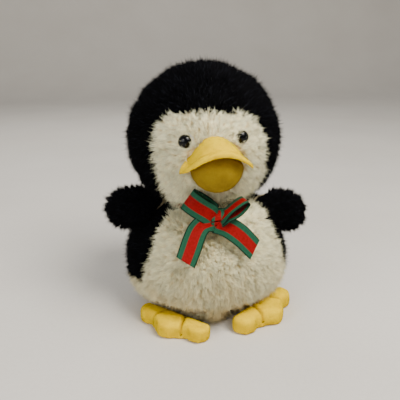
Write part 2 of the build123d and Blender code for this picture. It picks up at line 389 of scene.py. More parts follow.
@dataclass(frozen=True)
class ClothFinish:
    """Plain woven cloth on Object coordinates, for backings, the base and the floor."""

    name: str
    light: Colour
    deep: Colour
    threads: float = 900.0
    coarse: float = 60.0
    bump: float = 0.3

    def material(self) -> bpy.types.Material:
        """Build the material."""
        material, graph, shader = new_material(self.name)
        place = graph.place()
        grain = graph.group(EFFECTS.grain, Vector=place, Coarse=self.coarse, Fine=self.threads)
        weave = graph.group(EFFECTS.weave, Vector=place, Across=self.threads, Along=self.threads)
        colour = graph.blend(graph.spread(grain["Tone"], 0.35, 0.65, 0.0, 1.0), self.deep, self.light)
        graph.fill(shader, {"Base Color": colour, "Normal": graph.bump(weave["Height"], self.bump, 0.3 * MM),
                            "Roughness": 0.92, "Specular IOR Level": 0.2, "Sheen Weight": 0.1})
        return material


Finish = PileFinish | NapFinish | RibbonFinish | PlasticFinish | ClothFinish


def made(finish: Finish) -> bpy.types.Material:
    """Have a finish's material built with the finishes that it belongs to."""
    return field(default_factory=finish.material)


@dataclass
class Finishes:
    """Every finish of the toy and its studio, made once."""

    # Each pile lists its root colour, darkened as painted shade, then its tip colour, then its fleck colour and
    # that colour's share.
    black_pile: bpy.types.Material = made(PileFinish(
        # The black pile's fleck is painted sheen on its tips.
        "Black plush pile", shade(1, 1, 2), shade(4, 4, 6), shade(46, 48, 56), 0.07, sheen=0.0, gloss=0.05))
    white_pile: bpy.types.Material = made(PileFinish(
        "Cream plush pile", shade(228, 198, 136), shade(255, 250, 206), shade(236, 222, 184), 0.12,
        shade(236, 202, 130)))
    face_pile: bpy.types.Material = made(PileFinish(
        "Face plush pile", shade(222, 192, 132), shade(255, 252, 212), shade(236, 222, 184), 0.15))
    black_back: bpy.types.Material = made(ClothFinish("Black knit backing", shade(20, 20, 22), shade(8, 8, 9)))
    white_back: bpy.types.Material = made(ClothFinish(
        "Cream knit backing", shade(236, 222, 188), shade(222, 204, 164)))
    lining: bpy.types.Material = made(NapFinish(
        "Cream wing lining", shade(226, 214, 182), shade(205, 190, 152), shade(150, 130, 92)))
    yellow: bpy.types.Material = made(NapFinish(
        "Yellow brushed fabric", shade(245, 209, 0), shade(228, 186, 0), shade(134, 90, 0), sheen=0.0,
        gloss=0.0))
    yellow_fuzz: bpy.types.Material = made(PileFinish(
        "Yellow fabric fuzz", shade(206, 164, 0), shade(246, 214, 0), shade(252, 228, 10), 0.15, sheen=0.0,
        gloss=0.0))
    # The lower beak's fabric and fuzz are darker copies of the yellow, painted shade from the upper beak above
    # them.
    painted_shade_yellow: bpy.types.Material = made(NapFinish(
        "Yellow fabric in painted shade under the beak", shade(150, 124, 34), shade(130, 104, 24), shade(84, 60, 6), sheen=0.0,
        gloss=0.0))
    painted_shade_yellow_fuzz: bpy.types.Material = made(PileFinish(
        "Yellow fuzz in painted shade under the beak", shade(130, 104, 24), shade(154, 128, 38), shade(168, 142, 50), 0.15,
        sheen=0.0, gloss=0.0))
    ribbon: bpy.types.Material = made(RibbonFinish(
        "Striped ribbon", shade(146, 6, 10), shade(30, 84, 60), shade(8, 28, 18)))
    eye: bpy.types.Material = made(PlasticFinish(
        "Black eye plastic", shade(2, 2, 3), shade(5, 5, 6), 0.16, gloss=0.2))
    washer: bpy.types.Material = made(PlasticFinish(
        "White washer plastic", shade(222, 220, 212), shade(205, 202, 192), 0.4))
    floor: bpy.types.Material = made(ClothFinish(
        "Pale floor", shade(214, 209, 200), shade(207, 201, 192), 260.0, 6.0, 0.05))


# ---------------------------------------------------------------- mesh helpers


def link(name: str, mesh: bpy.types.Mesh, *materials: bpy.types.Material) -> bpy.types.Object:
    """Put a mesh into the scene as one piece, smooth shaded.

    Args:
        name: the piece's name.
        mesh: its mesh, already in place.
        materials: its materials, in slot order.

    Returns:
        The new object.
    """
    mesh.name = name
    piece = bpy.data.objects.new(name, mesh)
    bpy.context.scene.collection.objects.link(piece)
    for material in materials:
        mesh.materials.append(material)
    mesh.shade_smooth()
    return piece


def mesh_from(build: bmesh.types.BMesh) -> bpy.types.Mesh:
    """Turn a finished bmesh into a mesh with its faces outwards."""
    bmesh.ops.recalc_face_normals(build, faces=build.faces)
    mesh = bpy.data.meshes.new("piece")
    build.to_mesh(mesh)
    build.free()
    return mesh


def settle(piece: bpy.types.Object) -> None:
    """Apply every modifier of a piece."""
    evaluated = piece.evaluated_get(bpy.context.evaluated_depsgraph_get())
    mesh, old = bpy.data.meshes.new_from_object(evaluated), piece.data
    piece.modifiers.clear()
    piece.data = mesh
    mesh.name = piece.name
    bpy.data.meshes.remove(old)


def points_of(mesh: bpy.types.Mesh, what: str = "co") -> np.ndarray:
    """Read a mesh's points, or with "normal" its smooth normals, as rows of x, y, z."""
    flat = np.empty(len(mesh.vertices) * 3, np.float32)
    mesh.vertices.foreach_get(what, flat)
    return flat.reshape(-1, 3).astype(float)


def set_points(mesh: bpy.types.Mesh, points: np.ndarray) -> None:
    """Write a mesh's points back."""
    mesh.vertices.foreach_set("co", points.astype(np.float32).ravel())
    mesh.update()


def unit(rows: np.ndarray) -> np.ndarray:
    """Scale each row to a length of one."""
    return rows / np.maximum(np.linalg.norm(rows, axis=1, keepdims=True), TINY)


def flattened(rows: np.ndarray, ways: np.ndarray) -> np.ndarray:
    """Take out of each row its share along its own way."""
    return rows - ways * np.sum(rows * ways, axis=1, keepdims=True)


def same_way(points: np.ndarray, x: float, y: float, z: float) -> np.ndarray:
    """Give every point the same way."""
    return np.tile(np.array([x, y, z]), (len(points), 1))


def ripple(points: np.ndarray, wavelength: float, seed: int) -> np.ndarray:
    """Smooth, repeatable unevenness: one vector of about -1 to 1 for each point.

    Args:
        points: rows of x, y, z.
        wavelength: how far apart its swells are, in metres.
        seed: picks the pattern.

    Returns:
        Rows of three values.
    """
    waves_added = 7
    rng = np.random.default_rng(seed)
    total = np.zeros((len(points), 3))
    for _ in range(waves_added):
        waves = rng.normal(size=(3, 3)) * (2 * math.pi / wavelength) * 0.6
        total += np.sin(points @ waves + rng.uniform(0, 2 * math.pi, 3))
    return total / (waves_added / 2)


@dataclass(frozen=True)
class Stuffing:
    """How a padded piece is stuffed.

    Attributes:
        voxel: the size that it is remeshed at, in metres.
        inset: how far it starts inside its CAD solid.
        pressure: how hard it is filled.
        cap: how far a point may move as it swells.
        frames: how long the simulation runs.
        evening: how often its surface is evened out first.
    """

    voxel: float = 4 * MM
    inset: float = 1 * MM
    pressure: float = 4.0
    cap: float = 3 * MM
    frames: int = 20
    evening: int = 2

    def stuff(self, name: str, nodes: Sequence[str]) -> bpy.types.Object:
        """Make one closed, stuffed form from CAD nodes.

        Args:
            name: the new piece's name.
            nodes: the CAD nodes whose space it fills.

        Returns:
            The piece, remeshed, swollen by a cloth simulation and subdivided.
        """
        build = bmesh.new()
        for node in nodes:
            build.from_mesh(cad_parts[node].data)
        bmesh.ops.remove_doubles(build, verts=build.verts, dist=WELD)
        mesh = bpy.data.meshes.new(name)
        build.to_mesh(mesh)
        build.free()
        return self.inflate(link(name, mesh))

    def inflate(self, piece: bpy.types.Object) -> bpy.types.Object:
        """Remesh a closed form, draw it in, swell it as cloth and subdivide it."""
        remesh = piece.modifiers.new("Remesh", "REMESH")
        remesh.mode = "VOXEL"
        remesh.voxel_size = self.voxel
        settle(piece)
        self.draw_in(piece)
        self.swell(piece)
        subdivide = piece.modifiers.new("Subdivision", "SUBSURF")
        subdivide.levels = subdivide.render_levels = 1
        settle(piece)
        piece.data.shade_smooth()
        return piece

    def draw_in(self, piece: bpy.types.Object) -> None:
        """Even the surface out and move it inwards, so that there is room to swell."""
        build = bmesh.new()
        build.from_mesh(piece.data)
        loose = [v for v in build.verts if not v.link_faces]
        bmesh.ops.delete(build, geom=loose, context="VERTS")
        for _ in range(self.evening):
            bmesh.ops.smooth_vert(build, verts=build.verts, factor=0.5, use_axis_x=True, use_axis_y=True,
                                  use_axis_z=True)
        build.to_mesh(piece.data)
        build.free()
        points, normals = points_of(piece.data), points_of(piece.data, "normal")
        set_points(piece.data, points - normals * self.inset)

    def swell(self, piece: bpy.types.Object) -> None:
        """Inflate the form with cloth under pressure, no point moving further than the cap."""
        start = points_of(piece.data)
        cloth = piece.modifiers.new("Stuffing", "CLOTH")
        cloth.settings.use_pressure = True
        cloth.settings.uniform_pressure_force = self.pressure
        cloth.settings.effector_weights.gravity = 0.0
        cloth.point_cache.frame_start, cloth.point_cache.frame_end = 1, self.frames
        scene = bpy.context.scene
        for number in range(1, self.frames + 1):
            scene.frame_set(number)
        evaluated = piece.evaluated_get(bpy.context.evaluated_depsgraph_get())
        moved = points_of(evaluated.data) - start
        piece.modifiers.clear()
        reach = np.linalg.norm(moved, axis=1, keepdims=True)
        held = moved * np.minimum(1.0, self.cap / np.maximum(reach, 1e-9))
        set_points(piece.data, start + held)
        scene.frame_set(1)
        log.info("%s swelled by %.1f mm at most", piece.name, float(np.linalg.norm(held, axis=1).max()) / MM)


def gap_to(points: np.ndarray, lines: Sequence[Sequence[Point]]) -> np.ndarray:
    """Measure how far each point is from the nearest of some lines.

    Args:
        points: rows of x, y, z.
        lines: each line as points along it.

    Returns:
        One distance for each point.
    """
    nearest = np.full(len(points), np.inf)
    for line in lines:
        for start, end in zip(line[:-1], line[1:]):
            first, along = np.array(start), np.array(end) - np.array(start)
            share = np.clip((points - first) @ along / max(float(along @ along), TINY), 0, 1)
            nearest = np.minimum(nearest, np.linalg.norm(points - (first + share[:, None] * along), axis=1))
    return nearest


def press_lines(piece: bpy.types.Object, lines: Sequence[Sequence[Point]], depth: float, width: float,
                way: Vector | None = None) -> None:
    """Press sewn channels into a stuffed piece and mark them in its seam mask, where the finish paints shade.

    Args:
        piece: the piece, already subdivided.
        lines: each channel as points along it, in metres.
        depth: how far the middle of a channel goes in.
        width: how far from its middle it fades out.
        way: the axis that it is pressed along, from the side it looks at, or None for straight inwards.
    """
    points, normals = points_of(piece.data), points_of(piece.data, "normal")
    if way is None:
        push, gap = -normals, gap_to(points, lines)
    else:
        push, across = np.array(way)[None, :], 1 - np.abs(np.array(way))
        gap = gap_to(points * across, np.array(lines) * across)
        gap = np.where(normals @ np.array(way) < 0, gap, np.inf)
    mask = np.exp(-((gap / width) ** 2) * CHANNEL_FADE)
    set_points(piece.data, points + push * (mask * depth)[:, None])
    write_mask(piece, mask)


def write_mask(piece: bpy.types.Object, mask: np.ndarray) -> None:
    """Store a seam mask on a piece's points; the finish paints shade where it is high."""
    held = piece.data.attributes.get("seam") or piece.data.attributes.new("seam", "FLOAT", "POINT")
    held.data.foreach_set("value", mask.astype(np.float32))


def line_with(piece: bpy.types.Object, outside: bpy.types.Material, inside: bpy.types.Material,
              is_inside: Region) -> None:
    """Give a form two backings.

    Args:
        piece: the form.
        outside: its usual backing.
        inside: the backing of the faces in the region.
        is_inside: tells for each face's middle whether it is in the region.
    """
    mesh = piece.data
    mesh.materials.append(outside)
    mesh.materials.append(inside)
    middles = np.empty(len(mesh.polygons) * 3, np.float32)
    mesh.polygons.foreach_get("center", middles)
    chosen = is_inside(middles.reshape(-1, 3).astype(float))
    mesh.polygons.foreach_set("material_index", chosen.astype(np.int32))


@dataclass(frozen=True)
class Pile:
    """One kind of plush pile, as strands that bend over and gather in tufts.

    Attributes:
        length: a strand's usual length, in metres.
        count: how many strands there are.
        width: how thick a strand is at its root.
        lean: how far the strands lie over, the way that they are brushed.
        wander: how far they stray from that way.
        ruffle: how far each tuft leans its own way.
        tuft: how wide a tuft is.
        gather: how far the tips are drawn to the middle of their tuft.
        uneven: how much the length changes slowly over the skin.
        shag: how much it changes from tuft to tuft.
        strays: the share of strands that stand out longer.
        softness: how far the strands are lit like the skin below them.
        seed: picks the pattern.
    """

    length: float
    count: int
    width: float = 0.7 * MM
    lean: float = 0.36
    wander: float = 0.3
    ruffle: float = 0.24
    tuft: float = 2.7 * MM
    gather: float = 0.75
    uneven: float = 0.12
    shag: float = 0.1
    strays: float = 0.12
    softness: float = 0.66
    seed: int = 1

    def grow(self, name: str, skin: bpy.types.Object, finish: bpy.types.Material, region: Region,
             comb: Region) -> bpy.types.Object:
        """Grow the pile on part of a skin.

        Args:
            name: the new piece's name.
            skin: the closed form that it grows on.
            finish: its material.
            region: tells for each root whether the pile grows there.
            comb: gives each root the way that the pile is brushed.

        Returns:
            The pile as one mesh of tapered strands.
        """
        rng = np.random.default_rng(self.seed)
        roots, normals = self.scatter(skin.data, rng, region)
        count = len(roots)
        stray = ripple(roots, BROAD_SWIRL, self.seed + 1) * 0.8 + ripple(roots, FINE_SWIRL, self.seed + 2) * 0.5
        stray = flattened(stray + rng.normal(size=(count, 3)) * 0.45, normals)
        bend = flattened(comb(roots), normals) * self.lean + stray * self.wander
        pull, tuft = self.gathered(roots, rng)
        habits = rng.normal(size=(TUFT_KINDS, 4))[tuft]
        tuft_tone = rng.random(TUFT_KINDS)[tuft]
        bend = flattened(bend + habits[:, :3] * self.ruffle, normals)
        swell = 1 + self.uneven * ripple(roots, LENGTH_SWELL, self.seed + 3)[:, :1]
        growth = 1 + self.shag * np.clip(habits[:, 3:], -1.5, 1.5)
        stray_growth = np.where(rng.random((count, 1)) < self.strays, rng.uniform(1.1, 1.5, (count, 1)), 1.0)
        length = self.length * swell * growth * stray_growth * rng.uniform(0.75, 1.08, (count, 1))
        bend = bend / np.maximum(1.0, np.linalg.norm(bend, axis=1, keepdims=True) / MOST_BEND)
        rise = np.sqrt(1 - np.minimum(np.sum(bend**2, axis=1, keepdims=True), 0.85))
        foot = roots - normals * ROOT_DEPTH
        tip = foot + length * (normals * rise + bend) + flattened(pull, normals)
        tip[:, 2] = np.maximum(tip[:, 2], FLOOR_GAP)
        return self.weld(name, finish, foot, tip, normals, tuft_tone, rng)

    def scatter(self, mesh: bpy.types.Mesh, rng: np.random.Generator,
                region: Region) -> tuple[np.ndarray, np.ndarray]:
        """Spread roots evenly over part of a skin.

        Args:
            mesh: the skin.
            rng: where the random draws come from.
            region: tells for each triangle's middle whether roots may be there.

        Returns:
            The roots, and the skin's normals there.
        """
        mesh.calc_loop_triangles()
        corners = np.empty(len(mesh.loop_triangles) * 3, np.int32)
        mesh.loop_triangles.foreach_get("vertices", corners)
        corners = corners.reshape(-1, 3)
        points, normals = points_of(mesh), points_of(mesh, "normal")
        corners = corners[region(points[corners].mean(axis=1))]
        a, b, c = (points[corners[:, i]] for i in range(3))
        area = np.linalg.norm(np.cross(b - a, c - a), axis=1)
        chosen = rng.choice(len(corners), self.count, p=area / area.sum())
        u, v = rng.random(self.count), rng.random(self.count)
        over = u + v > 1
        u[over], v[over] = 1 - u[over], 1 - v[over]
        weights = np.stack([1 - u - v, u, v], axis=1)
        roots = np.einsum("ij,ijk->ik", weights, points[corners[chosen]])
        ways = unit(np.einsum("ij,ijk->ik", weights, normals[corners[chosen]]))
        return roots, ways

    def gathered(self, roots: np.ndarray, rng: np.random.Generator) -> tuple[np.ndarray, np.ndarray]:
        """Find each strand's pull towards its tuft, and which kind of tuft that is."""
        warped = roots + ripple(roots, TUFT_WARP, self.seed + 5) * self.tuft * 0.4
        cell = np.floor(warped / self.tuft).astype(np.int64)
        kind = np.bitwise_xor.reduce(cell * np.array(CELL_PRIMES), axis=1) % TUFT_KINDS
        middle = (cell + rng.uniform(0.2, 0.8, (TUFT_KINDS, 3))[kind]) * self.tuft
        return (middle - warped) * self.gather, kind

    def weld(self, name: str, finish: bpy.types.Material, foot: np.ndarray, tip: np.ndarray,
             normals: np.ndarray, tuft_tone: np.ndarray, rng: np.random.Generator) -> bpy.types.Object:
        """Make one mesh of three-sided tapered strands, each four points.

        Args:
            name: the new piece's name.
            finish: its material.
            foot: where each strand starts.
            tip: where it ends.
            normals: the skin's normals at the roots.
            tuft_tone: each strand's tone from its tuft.
            rng: where the random draws come from.

        Returns:
            The piece.
        """
        count = len(foot)
        along = unit(tip - foot)
        side = unit(flattened(rng.normal(size=(count, 3)), along))
        other = np.cross(along, side)
        thick = self.width / 2 * rng.uniform(0.7, 1.25, (count, 1))
        ways = [side * math.cos(a) + other * math.sin(a) for a in (0, 2 * math.pi / 3, 4 * math.pi / 3)]
        rows = np.stack([foot + way * thick for way in ways] + [tip], axis=1)
        mesh = bpy.data.meshes.new(name)
        mesh.vertices.add(count * 4)
        mesh.vertices.foreach_set("co", rows.astype(np.float32).ravel())
        corners = np.arange(count)[:, None] * 4 + np.array([0, 1, 3, 1, 2, 3, 2, 0, 3])
        mesh.loops.add(count * 9)
        mesh.loops.foreach_set("vertex_index", corners.astype(np.int32).ravel())
        mesh.polygons.add(count * 3)
        mesh.polygons.foreach_set("loop_start", np.arange(0, count * 9, 3, dtype=np.int32))
        mesh.update(calc_edges=True)
        piece = link(name, mesh, finish)
        strand = mesh.attributes.new("strand", "FLOAT_COLOR", "POINT")
        values = np.ones((count, 4, 4))
        # The first channel runs from 0 at the root to 1 at the tip; the pile finishes use it to paint shade
        # towards the root.
        values[:, :, 0] = [0.0, 0.0, 0.0, 1.0]
        values[:, :, 1] = rng.random((count, 1))
        values[:, :, 2] = tuft_tone[:, None]
        strand.data.foreach_set("color", values.astype(np.float32).ravel())
        out = normals + rng.normal(size=(count, 3)) * 0.18
        soft = [unit(out * self.softness + way * (1 - self.softness)) for way in ways] + [unit(out)]
        mesh.normals_split_custom_set_from_vertices(np.stack(soft, axis=1).reshape(-1, 3).astype(np.float32))
        return piece


FUZZ = Pile(1.1 * MM, 24000, width=0.26 * MM, tuft=2.8 * MM, gather=0.1)


def hand_over(piece: bpy.types.Object, body: str, nodes: Sequence[str] = ()) -> None:
    """Give a finished piece to its body, and hide the CAD nodes that it stands for.

    Args:
        piece: the finished piece.
        body: the body that it rides on.
        nodes: the CAD nodes that it stands for.
    """
    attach(piece, body)
    if nodes:
        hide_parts(*nodes)
    log.info("%s rides on %s with %d faces", piece.name, body, len(piece.data.polygons))


# ---------------------------------------------------------------- sub-assemblies


@dataclass
class Head:
    """The stuffed head: black back panels, a cream face and the eyes."""

    finishes: Finishes
    centre: Point = (0.0, 0.0, 174 * MM)
    neck_height: float = 120 * MM
    radius: float = 76 * MM
    lean: float = 3.0
    face_outline: tuple[tuple[float, float], ...] = (
        (118, 34), (133, 41), (148, 45.5), (162, 47.5), (176, 47), (189, 44.5), (198, 40), (203, 34), (206, 24),
        (207.5, 0))
    face_shift: float = -1 * MM
    face_slope: float = 0.09
    chin_drop: float = 4 * MM
    chin_height: float = 0.142
    chin_fade: float = 0.018
    throat: float = 0.038
    eye_side: float = 21.0
    eye_raise: float = 10.5
    eye_radius: float = 6.0 * MM
    eye_sunk: float = 5.2 * MM
    eye_bare: float = 4.1 * MM
    shank_radius: float = 2.4 * MM
    beak_bare: tuple[float, ...] = (0.027, 0.158, 0.020, 0.166, 0.018)
    neck_bare: float = 0.043
    crown_swirl: Point = (0.0, -0.02, 0.215)
    muzzle: Point = (0.0, -0.07, 0.172)
    pile: Pile = Pile(8.2 * MM, 60000, tuft=2.2 * MM, gather=0.6, strays=0.2)
    face_pile: Pile = Pile(7.6 * MM, 60000, gather=0.55, seed=15)
    stuffing: Stuffing = Stuffing(voxel=4 * MM, inset=8 * MM, cap=1.5 * MM)

    @property
    def tilt(self) -> Matrix:
        """The head's lean about the neck."""
        up = Matrix.Translation((0, 0, self.neck_height))
        return up @ Matrix.Rotation(math.radians(-self.lean), 4, "Y") @ up.inverted()

    def upright(self, points: np.ndarray) -> np.ndarray:
        """Bring points of the leaning head back upright."""
        back = np.array(self.tilt.inverted())
        return points @ back[:3, :3].T + back[:3, 3]

    def eye_way(self, side: Side) -> Vector:
        """Which way an eye looks, on the upright head."""
        turn, lift = math.radians(self.eye_side), math.radians(self.eye_raise)
        return Vector((side.sign * math.sin(turn) * math.cos(lift), -math.cos(turn) * math.cos(lift),
                       math.sin(lift)))

    def in_face(self, points: np.ndarray) -> np.ndarray:
        """Whether each point of the upright head is on the face panel."""
        x, y, z = points.T
        heights, widths = np.array(self.face_outline).T * MM
        z = z + self.face_slope * x
        return (np.abs(x - self.face_shift) < np.interp(z, heights, widths)) & (z < heights[-1]) & (y < 0)

    def clear(self, points: np.ndarray) -> np.ndarray:
        """Whether pile can grow there: not under the beak or the eyes, nor inside the neck."""
        x, y, z = points.T
        arch, arch_foot, bowl_half, bowl_middle, bowl_depth = self.beak_bare
        beak = ((x / arch) ** 2 + ((z - 0.160) / arch) ** 2 < 1) & (y < 0) & (z > arch_foot)
        bowl = ((x / bowl_half) ** 2 + ((z - bowl_middle) / bowl_depth) ** 2 < 1) & (y < 0)
        neck = (x**2 + y**2 < self.neck_bare**2) & (z < 0.13)
        open_skin = ~(beak | bowl | neck)
        outwards = unit(points - np.array(self.centre))
        for side in Side:
            near = outwards @ np.array(self.eye_way(side))
            open_skin &= near < math.cos(math.atan2(self.eye_bare, self.radius))
        return open_skin

    def brushed(self, points: np.ndarray) -> np.ndarray:
        """The way that the head's pile lies: back and down from the crown, outwards on the face."""
        away = unit(self.upright(points) - np.array(self.crown_swirl))
        return away * 0.4 + same_way(points, 0.0, 0.1, -0.3)

    def brushed_face(self, points: np.ndarray) -> np.ndarray:
        """The way that the face's pile lies: away from the beak, and parted round the eyes."""
        upright = self.upright(points)
        away = unit(upright - np.array(self.muzzle))
        for side in Side:
            eye = np.array(self.centre) + np.array(self.eye_way(side)) * self.radius
            gap = upright - eye
            reach = np.linalg.norm(gap, axis=1, keepdims=True)
            away = away + gap / np.maximum(reach, 1e-6) * np.exp(-((reach / (9 * MM)) ** 2)) * 1.2
        away[:, 2] -= 0.25
        return away

    def build(self) -> None:
        """Make the skin, the pile on each panel and both eyes."""
        skin = self.stuffing.stuff("head_form", ("head_back_left", "head_back_right", "face_panel",
                                                 "head_stuffing"))
        points = points_of(skin.data)
        low = np.clip((self.chin_height - points[:, 2]) / self.chin_fade, 0, 1)
        points[:, 2] -= self.chin_drop * low * (np.hypot(points[:, 0], points[:, 1]) > self.throat)
        set_points(skin.data, points)
        line_with(skin, self.finishes.black_back, self.finishes.white_back,
                  lambda p: self.in_face(self.upright(p)))
        hand_over(skin, "head", ("head_stuffing",))
        for side, seed in ((Side.LEFT, 11), (Side.RIGHT, 12)):
            node = f"head_back_{side.value}"
            coat = replace(self.pile, seed=seed).grow(
                f"{node}_pile", skin, self.finishes.black_pile,
                lambda p, s=side: ~self.in_face(self.upright(p)) & s.holds(p) & self.clear(self.upright(p)),
                self.brushed)
            hand_over(coat, "head", (node,))
        coat = self.face_pile.grow("face_pile", skin, self.finishes.face_pile,
                                   lambda p: self.in_face(self.upright(p)) & self.clear(self.upright(p)),
                                   self.brushed_face)
        hand_over(coat, "head", ("face_panel",))
        for side in Side:
            self.build_eye(side)

    def build_eye(self, side: Side) -> None:
        """Make one domed eye with its ridged shank."""
        build = bmesh.new()
        dome = bmesh.ops.create_uvsphere(build, u_segments=40, v_segments=20, radius=self.eye_radius)
        bmesh.ops.scale(build, vec=(1, 1, 0.78), verts=dome["verts"])
        bmesh.ops.bisect_plane(build, geom=build.verts[:] + build.edges[:] + build.faces[:],
                               plane_co=(0, 0, -1.2 * MM), plane_no=(0, 0, -1), clear_outer=True)
        rim = [e for e in build.edges if e.is_boundary]
        bmesh.ops.holes_fill(build, edges=rim)
        shank = [(self.shank_radius, 12 * MM, -7 * MM)]
        ridges = [(2.75 * MM, 0.9 * MM, (-11.5 + step * 1.6) * MM) for step in range(4)]
        for top_radius, depth, height in shank + ridges:
            bmesh.ops.create_cone(build, cap_ends=True, segments=24, radius1=self.shank_radius,
                                  radius2=top_radius, depth=depth, matrix=Matrix.Translation((0, 0, height)))
        way = self.eye_way(side)
        place = Matrix.Translation(Vector(self.centre) + way * (self.radius - self.eye_sunk))
        turn = way.to_track_quat("Z", "Y").to_matrix().to_4x4()
        bmesh.ops.transform(build, matrix=self.tilt @ place @ turn, verts=build.verts)
        eye = link(f"eye_{side.value}_dome", mesh_from(build), self.finishes.eye)
        hand_over(eye, "head", (f"eye_{side.value}",))
        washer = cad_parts[f"eye_washer_{side.value}"]
        washer.data.materials.clear()
        washer.data.materials.append(self.finishes.washer)


@dataclass
class Beak:
    """The arched upper beak with its rolled lip, and the rounded lower one, shaped in millimetres."""

    finishes: Finishes
    head: Head
    half_width: float = 29.8
    recess: float = 0.2
    root: float = -73.0
    reach: float = 34.0
    lip_foot: float = 159.0
    lip_rise: float = 21.0
    crown: float = 6.6
    flare: float = 1.08
    back_reach: float = 16.0
    lip: float = 4.0
    lip_swell: float = 0.6
    roll: float = 0.18
    bowl_half: float = 24.0
    bowl_root: float = -74.0
    bowl_height: float = 166.0
    bowl_reach: tuple[float, ...] = (27.5, 15.0, 24.0, 18.0)
    bowl_gap: float = 0.8
    bare_seam: float = 1.6 * MM
    seam_depth: float = 2.0 * MM
    seam_width: float = 1.6 * MM
    fuzz_back: float = -60 * MM
    fuzz_count: int = 17000
    upper: Stuffing = Stuffing(voxel=1.6 * MM, inset=0.6 * MM, cap=0.8 * MM, evening=1)
    lower: Stuffing = Stuffing(voxel=2.0 * MM, inset=0.8 * MM, cap=0.8 * MM, evening=2)

    def underside(self, across: float) -> float:
        """Height of the upper beak's arched underside, at a share of its half width."""
        return self.lip_foot + self.lip_rise * (1 - across**2)

    def upper_point(self, ball: Vector) -> Vector:
        """Carry a point of a unit ball to the upper beak: a low dome over a thick arched lip."""
        flare = self.flare - self.recess * min(1.0, max(0.0, (ball.z - 0.12) / 0.26))
        x = self.half_width * ball.x * flare
        y = self.root + (self.reach * flare if ball.y < 0 else self.back_reach) * ball.y
        under = self.underside(ball.x)
        lip = self.lip + self.lip_swell * (1 - ball.x**2)
        if ball.z >= 0:
            return Vector((x, y, under + lip + self.crown * ball.z)) * MM
        return Vector((x, y, under + lip * max(0.0, 1 + ball.z / self.roll))) * MM

    def lower_point(self, ball: Vector) -> Vector:
        """Carry a point of a unit ball to the lower beak: a bowl whose top stays under the arch."""
        front, back, down, up = self.bowl_reach
        x = self.bowl_half * ball.x
        y = self.bowl_root + (front if ball.y < 0 else back) * ball.y
        z = self.bowl_height + (down if ball.z < 0 else up) * ball.z
        return Vector((x, y, min(z, self.underside(x / self.half_width) - self.bowl_gap))) * MM

    def ball(self, carry: Callable[[Vector], Vector]) -> bpy.types.Mesh:
        """Shape a ball point by point, and lean it with the head."""
        build = bmesh.new()
        bmesh.ops.create_icosphere(build, subdivisions=5, radius=1.0)
        for vert in build.verts:
            vert.co = carry(vert.co)
        bmesh.ops.transform(build, matrix=self.head.tilt, verts=build.verts)
        return mesh_from(build)

    def seam(self) -> list[Point]:
        """The sewn line behind the rolled lip, from corner to corner."""
        line = []
        for turn in np.radians(np.linspace(-82, 82, 31)):
            ball = Vector((math.sin(turn) * 0.93, -math.cos(turn) * 0.93, 0.34))
            line.append(tuple(self.head.tilt @ self.upper_point(ball)))
        return line

    def build(self) -> None:
        """Make both halves of the beak and their fuzz."""
        top = self.upper.inflate(link("beak_upper_form", self.ball(self.upper_point)))
        top.data.materials.append(self.finishes.yellow)
        seams = [self.seam()]
        press_lines(top, seams, self.seam_depth, self.seam_width)
        hand_over(top, "head", ("beak_upper_lining", "beak_upper_stuffing"))
        bowl = self.lower.inflate(link("beak_lower_form", self.ball(self.lower_point)))
        # The lower beak takes the yellow in painted shade.
        bowl.data.materials.append(self.finishes.painted_shade_yellow)
        write_mask(bowl, np.zeros(len(bowl.data.vertices)))
        hand_over(bowl, "head", ("beak_lower_stuffing",))
        for name, form, node, finish, seed in (
                ("beak_upper_fuzz", top, "beak_upper_cover", self.finishes.yellow_fuzz, 31),
                ("beak_lower_fuzz", bowl, "beak_lower_cover", self.finishes.painted_shade_yellow_fuzz, 32)):
            coat = replace(FUZZ, count=self.fuzz_count, seed=seed).grow(
                name, form, finish, lambda p: (p[:, 1] < self.fuzz_back) & (gap_to(p, seams) > self.bare_seam),
                lambda p: same_way(p, 0.0, -0.4, -0.6))
            hand_over(coat, "head", (node,))


